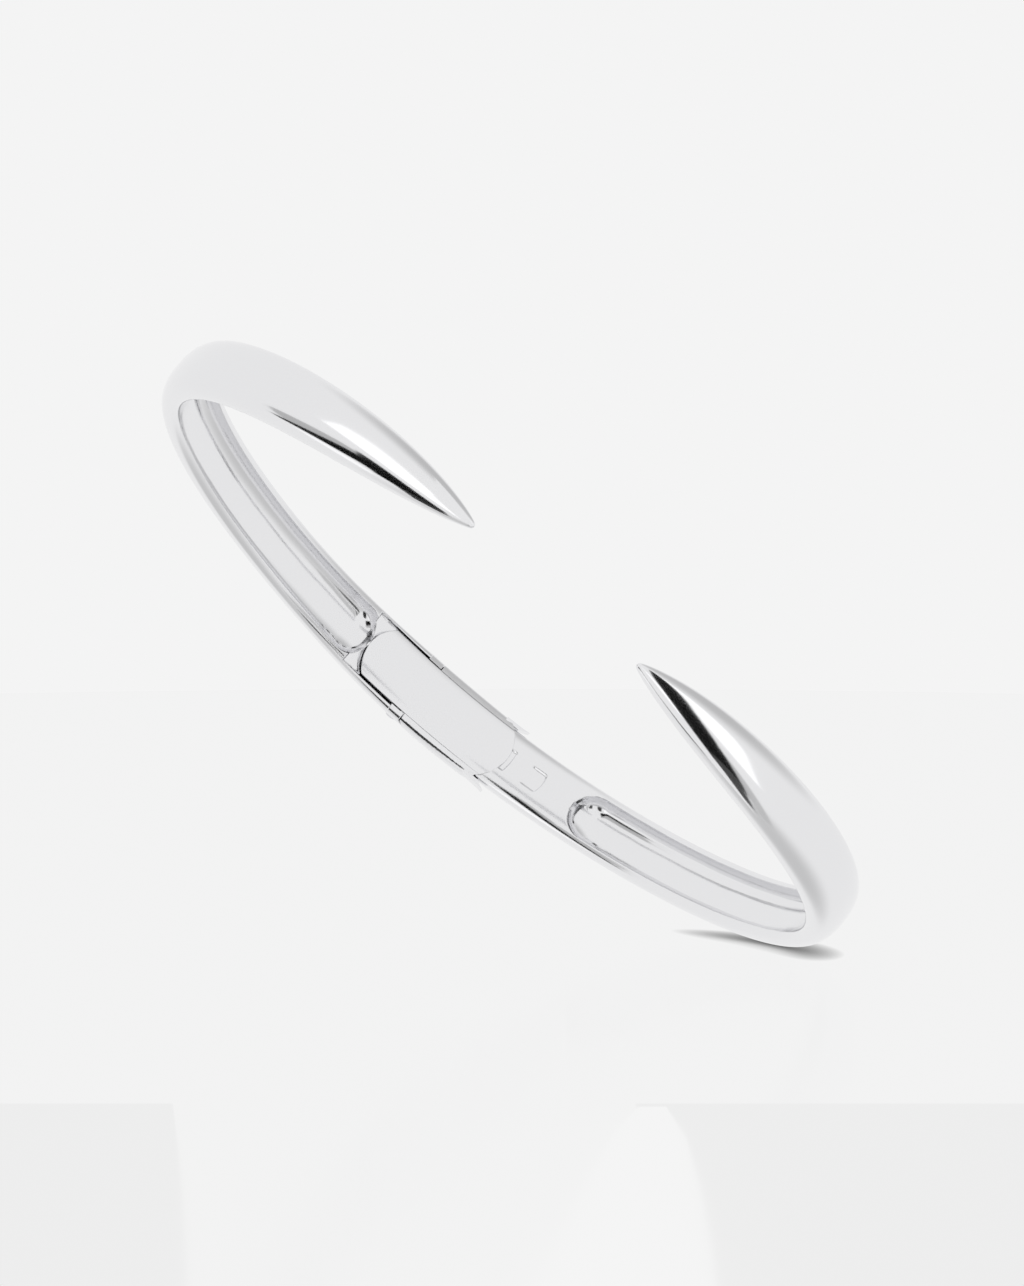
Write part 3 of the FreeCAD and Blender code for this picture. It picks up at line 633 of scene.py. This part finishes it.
def add_cast_and_shaded_scoops(material, tone):
    """Duller cast metal with streaks along the band, and painted shade that darkens its base
    colour, where a piece says it is in the scoop.
    """
    tree = material.node_tree
    shader = tree.nodes["Principled BSDF"]
    place = add_node(tree, "ShaderNodeAttribute", attribute_name="band_place")
    parts = add_node(tree, "ShaderNodeSeparateXYZ", {"Vector": place.outputs["Vector"]})
    lined = add_node(tree, "ShaderNodeMapping", {
        "Vector": place.outputs["Vector"], "Scale": STREAKS})
    streaks = add_node(tree, "ShaderNodeTexNoise", {
        "Vector": lined.outputs["Vector"], "Scale": 1.0, "Detail": 3.0, "Roughness": 0.55})
    # painted shade: the base colour in the scoops drops to as little as half the silver's tone, on
    # top of the rougher cast finish
    dull_and_shaded = add_node(tree, "ShaderNodeValToRGB", {"Fac": streaks.outputs["Fac"]})
    low, high = dull_and_shaded.color_ramp.elements
    low.position, high.position = 0.34, 0.60
    low.color = tuple(c * STREAK_AND_SHADE_DARK for c in tone) + (1.0,)
    high.color = tuple(c * STREAK_LIGHT for c in tone) + (1.0,)
    for socket, kind in (("Base Color", "RGBA"), ("Roughness", "FLOAT")):
        before = shader.inputs[socket].links[0].from_socket
        mix = add_node(tree, "ShaderNodeMix", data_type=kind)
        sides = [i for i in mix.inputs if i.enabled]
        tree.links.new(parts.outputs["Z"], sides[0])
        tree.links.new(before, sides[1])
        if kind == "RGBA":
            tree.links.new(dull_and_shaded.outputs["Color"], sides[2])
        else:
            sides[2].default_value = CAST_ROUGH
        tree.links.new([o for o in mix.outputs if o.enabled][0], shader.inputs[socket])
    ridges = add_node(tree, "ShaderNodeMath", {
        0: streaks.outputs["Fac"], 1: parts.outputs["Z"]}, operation="MULTIPLY")
    relief = add_node(tree, "ShaderNodeBump", {
        "Height": ridges.outputs["Value"], "Strength": 0.35, "Distance": STREAK_RELIEF,
        "Normal": shader.inputs["Normal"].links[0].from_socket})
    tree.links.new(relief.outputs["Normal"], shader.inputs["Normal"])


# ------------------------------------------------------------------ studio
class CuffStageSizes(bpy.types.PropertyGroup):
    """Camera, light and floor of the studio."""
    camera_turn: angle("Camera turn", "Turn of the view round the wrist axis", 0.804)
    camera_rise: angle("Camera rise", "Height of the view above the band's plane", 16.002)
    camera_roll: angle("Camera roll", "Roll that stands the cuff on one side", 219.954)
    camera_distance: length("Camera distance", "From the wrist's middle to the camera", 393.7)
    lens: share("Lens", "Focal length in millimetres on a 36 mm sensor", 151.5)
    shift_x: share("Shift X", "Sideways shift of the view", 0.0065)
    shift_y: share("Shift Y", "Upright shift of the view", 0.0068)
    floor_tilt: angle("Floor tilt", "How far the view looks down on the floor", 4.0)
    floor_radius: length("Floor radius", "Radius of the floor", 250.0)
    shadow_reach: length("Shadow reach", "Gap above the floor that still shades it", 1.8)
    studio_white: share("Studio white", "Brightness of the pale surroundings", 0.905)
    card_depth: length("Card depth", "How far before the wrist's middle the cards stand", 70.0)
    near_reach: length("Near reach", "Distance at which the near cards stop showing", 90.0)
    far_reach: length("Far reach", "Distance at which the far cards stop showing", 260.0)


# Every card is a curved strip: name, brightness, near or far, order from the cuff outwards,
# then its start, bend and end, across and up the view in mm, and its half width at each.
CARDS = (
    ("left_flag", 0.0, "near", 2, (-38, 31), (-27, -13), (-85, -125), (2, 37, 20)),
    ("left_tail", 0.0, "far", 2, (-40, 5), (-110, -2), (-300, -14), (19, 10, 12)),
    ("left_low_tail", 0.03, "far", 1, (-44, -30), (-50, -95), (-150, -230), (14, 24, 24)),
    ("left_grey", 0.50, "far", 3, (-42, 24), (-85, 26), (-190, 34), (8, 16, 30)),
    ("left_light", 1.25, "near", 4, (-62, 92), (2, 50), (9, -28), (5, 22, 3)),
    ("right_flag", 0.0, "near", 2, (31, 62), (35, -8), (5, -125), (3, 29, 8)),
    ("right_low_tail", 0.06, "far", 1, (22, -45), (14, -90), (-8, -170), (13, 12, 8)),
    ("right_grey", 0.58, "far", 3, (42, -20), (52, -80), (34, -150), (2, 16, 14)),
    ("right_light", 1.25, "near", 4, (38, 52), (60, 4), (118, -48), (3, 26, 12)),
    ("low_light", 1.12, "far", 5, (-95, -34), (-130, -60), (-260, -120), (5, 40, 60)),
)
CARD_POINTS = 60
CARD_STEP = 0.6 * MM      # between one order and the next, away from the cuff
CARD_SQUARE = 12          # squareness of a card's ends
DIVIDER = ((24.0, 68.0), (-70.0, 24.0))     # depth and height of the white card between claws
DIVIDER_PLACE = 4.0


def view_axes(p):
    """Right, up and backward directions of the camera, as numpy rows."""
    a, e, r = p.camera_turn, p.camera_rise, p.camera_roll
    back = np.array((math.sin(a) * math.cos(e), -math.cos(a) * math.cos(e), math.sin(e)))
    right = np.array((math.cos(a), math.sin(a), 0))
    up = np.cross(right, -back)
    return (math.cos(r) * right + math.sin(r) * up,
            -math.sin(r) * right + math.cos(r) * up, back)


def wrist_middle():
    """Middle of the wrist opening, which the camera and the cards stand round."""
    return np.array((0, bpy.context.scene.cuff_band.wrist_shift, MID_HEIGHT))


def glow(name, strength, reach):
    """Even glow that only shows to surfaces nearer than reach."""
    material = bpy.data.materials.new(name)
    material.use_nodes = True
    tree = material.node_tree
    tree.nodes.remove(tree.nodes["Principled BSDF"])
    light = add_node(tree, "ShaderNodeEmission", {"Strength": strength})
    clear = add_node(tree, "ShaderNodeBsdfTransparent")
    ray = add_node(tree, "ShaderNodeLightPath")
    far = add_node(tree, "ShaderNodeMath", {0: ray.outputs["Ray Length"], 1: reach},
                   operation="GREATER_THAN")
    mix = add_node(tree, "ShaderNodeMixShader", {
        0: far.outputs["Value"], 1: light.outputs[0], 2: clear.outputs[0]})
    tree.links.new(mix.outputs[0], tree.nodes["Material Output"].inputs["Surface"])
    return material


def stage_object(name, points, faces, material):
    """Mesh object that belongs to the stage and that light and shadow rays pass by."""
    mesh = bpy.data.meshes.new(name)
    mesh.from_pydata(np.asarray(points).tolist(), [], np.asarray(faces).tolist())
    mesh.materials.append(material)
    thing = bpy.data.objects.new(name, mesh)
    bpy.context.scene.collection.objects.link(thing)
    thing.visible_shadow = thing.visible_diffuse = False
    return thing


def bent(values, u):
    """Quadratic curve (1 - u)^2 a + 2u (1 - u) b + u^2 c."""
    a, b, c = values
    return (1 - u) ** 2 * a + 2 * u * (1 - u) * b + u ** 2 * c


def strip_faces(count):
    """Quads between two rows of points, the second numbered after the first."""
    i = np.arange(count - 1)
    return np.stack([i, i + 1, i + 1 + count, i + count], 1)


def add_card(p, name, strength, kind, order, start, bend, end, widths):
    """Strip along a quadratic curve, as wide as another, with round ends, facing the cuff."""
    across, top, back = view_axes(p)
    u = np.linspace(0, 1, CARD_POINTS)
    x, y = (bent([q[i] for q in (start, bend, end)], u) for i in range(2))
    dx, dy = np.gradient(x), np.gradient(y)
    half = bent(widths, u) * np.sqrt(1 - np.abs(2 * u - 1) ** CARD_SQUARE) / np.hypot(dx, dy)
    sides = [np.stack([x - k * half * dy, y + k * half * dx], 1) for k in (1, -1)]
    flat = np.concatenate(sides) * MM
    depth = p.card_depth + order * CARD_STEP
    points = wrist_middle() + flat[:, :1] * across + flat[:, 1:] * top + depth * back
    reach = p.near_reach if kind == "near" else p.far_reach
    card = stage_object(name, points, strip_faces(CARD_POINTS), glow(name, strength, reach))
    card.visible_camera = False


def add_divider(p):
    """White card between the claws, so that neither shows the other's flag."""
    across, top, back = view_axes(p)
    (near, far), (low, high) = DIVIDER
    corners = [(near, low), (near, high), (far, high), (far, low)]
    points = [wrist_middle() + (DIVIDER_PLACE * across + h * top + d * back) * MM
              for d, h in corners]
    card = stage_object("divider", points, [[0, 1, 2, 3]],
                        glow("divider", p.studio_white, p.near_reach))
    card.visible_camera = False


FLOOR_POINTS = 64
FLOOR_MIRROR = 0.06       # share of the floor's look that is a faint reflection
FLOOR_BLUR = 0.12
FLOOR_DARKEST = 0.10      # brightness of the painted contact shadow where the gap closes
FLOOR_GAP = 0.02 * MM
GAP_RAYS = 16


def floor_material(p):
    """Pale glow that darkens in narrow gaps as a painted contact shadow, with a faint reflection,
    seen from above only.
    """
    material = bpy.data.materials.new("pale_floor")
    material.use_nodes = True
    tree = material.node_tree
    tree.nodes.remove(tree.nodes["Principled BSDF"])
    # painted contact shadow: ambient occlusion darkens the floor's glow where the cuff comes near
    gap = add_node(tree, "ShaderNodeAmbientOcclusion", {"Distance": p.shadow_reach},
                   samples=GAP_RAYS)
    shade = add_node(tree, "ShaderNodeMapRange", {
        "Value": gap.outputs["AO"], "From Min": 0.0, "From Max": 1.0,
        "To Min": FLOOR_DARKEST, "To Max": p.studio_white})
    light = add_node(tree, "ShaderNodeEmission", {"Strength": shade.outputs["Result"]})
    mirror = add_node(tree, "ShaderNodeBsdfGlossy", {"Roughness": FLOOR_BLUR})
    mix = add_node(tree, "ShaderNodeMixShader", {
        0: FLOOR_MIRROR, 1: light.outputs[0], 2: mirror.outputs[0]})
    clear = add_node(tree, "ShaderNodeBsdfTransparent")
    side = add_node(tree, "ShaderNodeNewGeometry")
    both = add_node(tree, "ShaderNodeMixShader", {
        0: side.outputs["Backfacing"], 1: mix.outputs[0], 2: clear.outputs[0]})
    tree.links.new(both.outputs[0], tree.nodes["Material Output"].inputs["Surface"])
    return material


def add_floor(p):
    """Round floor under the lowest point of the arm that the cuff stands on."""
    across, top, back = view_axes(p)
    normal = math.cos(p.floor_tilt) * top + math.sin(p.floor_tilt) * back
    arm = bpy.data.objects["fixed_arm"].data
    points = np.empty(3 * len(arm.vertices))
    arm.vertices.foreach_get("co", points)
    lowest = (points.reshape(-1, 3) @ normal).min() - FLOOR_GAP
    centre = wrist_middle() + normal * (lowest - wrist_middle() @ normal)
    forward = np.cross(normal, across)
    t = np.linspace(0, 2 * math.pi, FLOOR_POINTS, endpoint=False)[:, None]
    ring = centre + p.floor_radius * (np.cos(t) * across + np.sin(t) * forward)
    floor = stage_object("floor", ring, [list(range(FLOOR_POINTS))], floor_material(p))
    floor.visible_glossy = False


SHADE_RISE = math.radians(45.0)   # height of the shaded corner of the room, to the right
SHADE_START, SHADE_DEPTH = 0.70, 0.34
LOW_START, LOW_DEPTH = 0.62, 0.28


def add_surroundings(p):
    """Pale surroundings, a little darker to the upper right and low down in reflections.

    brightness = white - depth_1 s(d . corner) - depth_2 s(-d . up), with s a soft step and d the
    direction, while the camera itself sees plain white.
    """
    across, top, _ = view_axes(p)
    corner = math.cos(SHADE_RISE) * across + math.sin(SHADE_RISE) * top
    world = bpy.data.worlds.new("pale_studio")
    world.use_nodes = True
    tree = world.node_tree
    direction = add_node(tree, "ShaderNodeTexCoord").outputs["Generated"]
    level = p.studio_white
    for axis, start, depth in ((corner, SHADE_START, SHADE_DEPTH), (-top, LOW_START, LOW_DEPTH)):
        facing = add_node(tree, "ShaderNodeVectorMath", {0: direction, 1: tuple(axis)},
                          operation="DOT_PRODUCT")
        step = add_node(tree, "ShaderNodeMapRange", {
            "Value": facing.outputs["Value"], "From Min": start, "From Max": 1.0,
            "To Min": 0.0, "To Max": depth}, interpolation_type="SMOOTHSTEP")
        level = add_node(tree, "ShaderNodeMath", {0: level, 1: step.outputs["Result"]},
                         operation="SUBTRACT").outputs["Value"]
    ray = add_node(tree, "ShaderNodeLightPath")
    seen = add_node(tree, "ShaderNodeMix", {2: level, 3: p.studio_white})
    tree.links.new(ray.outputs["Is Camera Ray"], seen.inputs[0])
    background = tree.nodes["Background"]
    background.inputs["Color"].default_value = (1, 1, 1, 1)
    tree.links.new(seen.outputs[0], background.inputs["Strength"])
    bpy.context.scene.world = world
    bpy.context.scene.view_settings.view_transform = "Standard"


SENSOR_WIDTH = 36
CLIP_NEAR, CLIP_FAR = 0.01, 10


def add_camera(p):
    """Camera before the wrist's middle, rolled, with a small shift and no depth of field."""
    across, top, back = view_axes(p)
    data = bpy.data.cameras.new("studio_camera")
    data.sensor_width = SENSOR_WIDTH
    data.lens = p.lens
    data.shift_x, data.shift_y = p.shift_x, p.shift_y
    data.clip_start, data.clip_end = CLIP_NEAR, CLIP_FAR
    camera = bpy.data.objects.new("studio_camera", data)
    turn = Matrix([list(v) for v in (across, top, back)]).transposed().to_4x4()
    place = Vector(wrist_middle() + back * p.camera_distance)
    camera.matrix_world = Matrix.Translation(place) @ turn
    bpy.context.scene.collection.objects.link(camera)
    bpy.context.scene.camera = camera


# ------------------------------------------------------------------ operators and panel
# Known fault: the frame already holds plain materials with these four names, so the metals made
# here get a number after their name. bpy.data.materials[name] finds the frame's plain one, and
# no piece wears the metals made here. The cure is to hand on what metal() returns.
# Stretch, grain per metre and depth of the fine marks on each metal.
MARKS = {"silver": ((1, 1, 6), 900, 0.0006 * MM),
         "hinge_metal": ((1, 1, 0.1), 4000, 0.01 * MM),
         "pin_metal": ((1, 1, 8), 3000, 0.01 * MM),
         "spring_steel": ((0.1, 1, 1), 4000, 0.01 * MM)}
CARRIED = {"leaf_spring": "spring_steel", "hinge_pin": "pin_metal", "spring_rivet": "pin_metal",
           "cam_block": "hinge_metal", "upper_knuckle_tube": "hinge_metal",
           "lower_knuckle_tube": "hinge_metal", "spring_seat": "hinge_metal"}


class CUFF_OT_metals(bpy.types.Operator):
    """Make the four metals, and give the frame's metals to the parts that come from it"""
    bl_idname = "cuff.make_metals"
    bl_label = "Make metals"

    def execute(self, context):
        f = context.scene.cuff_finish
        for name, (stretch, grain, relief) in MARKS.items():
            rough = f.polish if name == "silver" else f.drawn
            made = metal(name, getattr(f, name), rough, stretch, grain, relief)
            if name == "silver":
                add_cast_and_shaded_scoops(made, f.silver)
        for name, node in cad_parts.items():
            for slot in node.material_slots:
                slot.material = bpy.data.materials[CARRIED.get(name, "silver")]
        return {"FINISHED"}


class CUFF_OT_arms(bpy.types.Operator):
    """Build the fixed and the hinged claw arm"""
    bl_idname = "cuff.build_arms"
    bl_label = "Build arms"

    def execute(self, context):
        s, h = context.scene.cuff_band, context.scene.cuff_hinge
        silver = bpy.data.materials["silver"]
        build_arm(s, h, FIXED, "fixed_arm", "fixed_half", silver, "fixed_claw_arm")
        build_arm(s, h, HINGED, "hinged_arm", "hinged_half", silver, "hinged_claw_arm")
        return {"FINISHED"}


class CUFF_OT_cover_plate(bpy.types.Operator):
    """Build the smooth plate that covers the hinge on the wrist side"""
    bl_idname = "cuff.build_cover_plate"
    bl_label = "Build cover plate"

    def execute(self, context):
        scene = context.scene
        build_plate(scene.cuff_band, scene.cuff_hinge, bpy.data.materials["silver"])
        return {"FINISHED"}


class CUFF_OT_ears(bpy.types.Operator):
    """Build the two ears by which the hinged arm hangs on the pin"""
    bl_idname = "cuff.build_ears"
    bl_label = "Build ears"

    def execute(self, context):
        scene = context.scene
        for up in (1, -1):
            build_ear(scene.cuff_band, scene.cuff_hinge, up, bpy.data.materials["silver"])
        return {"FINISHED"}


class CUFF_OT_stage(bpy.types.Operator):
    """Set up the camera, the studio cards, the floor and the pale surroundings"""
    bl_idname = "cuff.set_stage"
    bl_label = "Set stage"

    def execute(self, context):
        p = context.scene.cuff_stage
        add_camera(p)
        for card in CARDS:
            add_card(p, *card)
        add_divider(p)
        add_floor(p)
        add_surroundings(p)
        return {"FINISHED"}


class CUFF_PT_sidebar(bpy.types.Panel):
    """Lists the steps in order, with the sizes and colours"""
    bl_idname = "CUFF_PT_sidebar"
    bl_label = "Claw cuff"
    bl_space_type = "VIEW_3D"
    bl_region_type = "UI"
    bl_category = "Claw Cuff"

    def draw(self, context):
        for step in STEPS:
            self.layout.operator(step.bl_idname)
        for name in GROUPS:
            group = getattr(context.scene, name)
            box = self.layout.box()
            for key in group.__annotations__:
                box.prop(group, key)


GROUPS = {"cuff_band": CuffBandSizes, "cuff_hinge": CuffHingeSizes,
          "cuff_finish": CuffFinishes, "cuff_stage": CuffStageSizes}
STEPS = (CUFF_OT_metals, CUFF_OT_arms, CUFF_OT_cover_plate, CUFF_OT_ears, CUFF_OT_stage)


def register():
    for part in (*GROUPS.values(), *STEPS, CUFF_PT_sidebar):
        bpy.utils.register_class(part)
    for name, group in GROUPS.items():
        setattr(bpy.types.Scene, name, bpy.props.PointerProperty(type=group))


def unregister():
    for name in GROUPS:
        delattr(bpy.types.Scene, name)
    for part in reversed((*GROUPS.values(), *STEPS, CUFF_PT_sidebar)):
        bpy.utils.unregister_class(part)


def main():
    register()
    bpy.ops.cuff.make_metals()
    bpy.ops.cuff.build_arms()
    bpy.ops.cuff.build_cover_plate()
    bpy.ops.cuff.build_ears()
    bpy.ops.cuff.set_stage()


if __name__ == "__main__":
    main()
